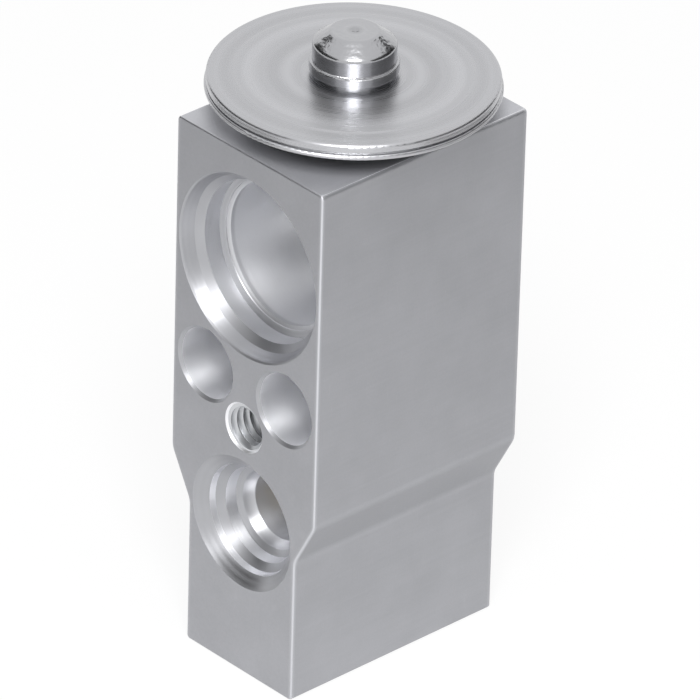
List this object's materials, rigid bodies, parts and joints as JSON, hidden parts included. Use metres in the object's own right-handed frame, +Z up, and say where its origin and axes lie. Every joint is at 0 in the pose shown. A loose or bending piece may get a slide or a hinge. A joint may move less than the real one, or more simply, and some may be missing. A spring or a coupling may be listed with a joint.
{
  "type": "block type thermostatic expansion valve",
  "caption": "Aluminium block expansion valve with stepped ports, a diaphragm power head on top and an adjusting screw beneath.",
  "frame": {"origin": "centre of the block's foot, at the lowest face, on the valve's own axis", "axes": "+Z up along the valve's axis to the power head, -Y out of the face with the inlet and the tapped hole, +X to the right seen from there"},
  "size_m": [0.0348, 0.0348, 0.0809],
  "materials": {
    "block_aluminium": "satin extruded, machined in the ports",
    "head_steel": "spun and pressed stainless steel",
    "plug_steel": "turned, bright",
    "diaphragm_steel": "rolled thin sheet",
    "pad_aluminium": "turned",
    "rod_steel": "ground, polished",
    "spring_steel": "drawn and tempered",
    "support_brass": "turned",
    "screw_brass": "turned and threaded",
    "seal_rubber": "matt moulded"
  },
  "bodies": {
    "housing": {"valve_body": "block_aluminium", "head_lower_cover": "head_steel", "head_upper_cover": "head_steel", "charge_plug": "plug_steel", "diaphragm": "diaphragm_steel", "head_o_ring": "seal_rubber", "rod_o_ring": "seal_rubber", "rod_seal_retainer": "spring_steel", "superheat_spring": "spring_steel"},
    "valve_train": {"thrust_pad": "pad_aluminium", "sensing_shaft": "pad_aluminium", "working_rod": "rod_steel", "valve_ball": "rod_steel", "ball_support": "support_brass", "damping_spring": "spring_steel"},
    "screw_seal": {"adjusting_screw_o_ring": "seal_rubber"},
    "adjusting_screw": {"adjusting_screw": "screw_brass"}
  },
  "joints": [
    {"name": "valve_stroke", "type": "slide", "parent": "housing", "child": "valve_train", "axis": [0, 0, 1], "range_m": [-0.0008, 0], "stiffness_N_per_m": 8000, "springref_m": 0.003, "deforming": ["superheat_spring", "diaphragm"]},
    {"name": "adjuster_travel", "type": "slide", "parent": "housing", "child": "screw_seal", "axis": [0, 0, 1], "range_m": [-0.0005, 0.00075], "deforming": ["superheat_spring"]},
    {"name": "adjuster_turn", "type": "hinge", "parent": "screw_seal", "child": "adjusting_screw", "pos_m": [0, 0, 0.0008], "axis": [0, 0, 1], "range_deg": [-180, 270]}
  ],
  "couplings": [
    {"joint": "adjuster_turn", "follows": "adjuster_travel", "rad_per_m": 6283.2}
  ]
}
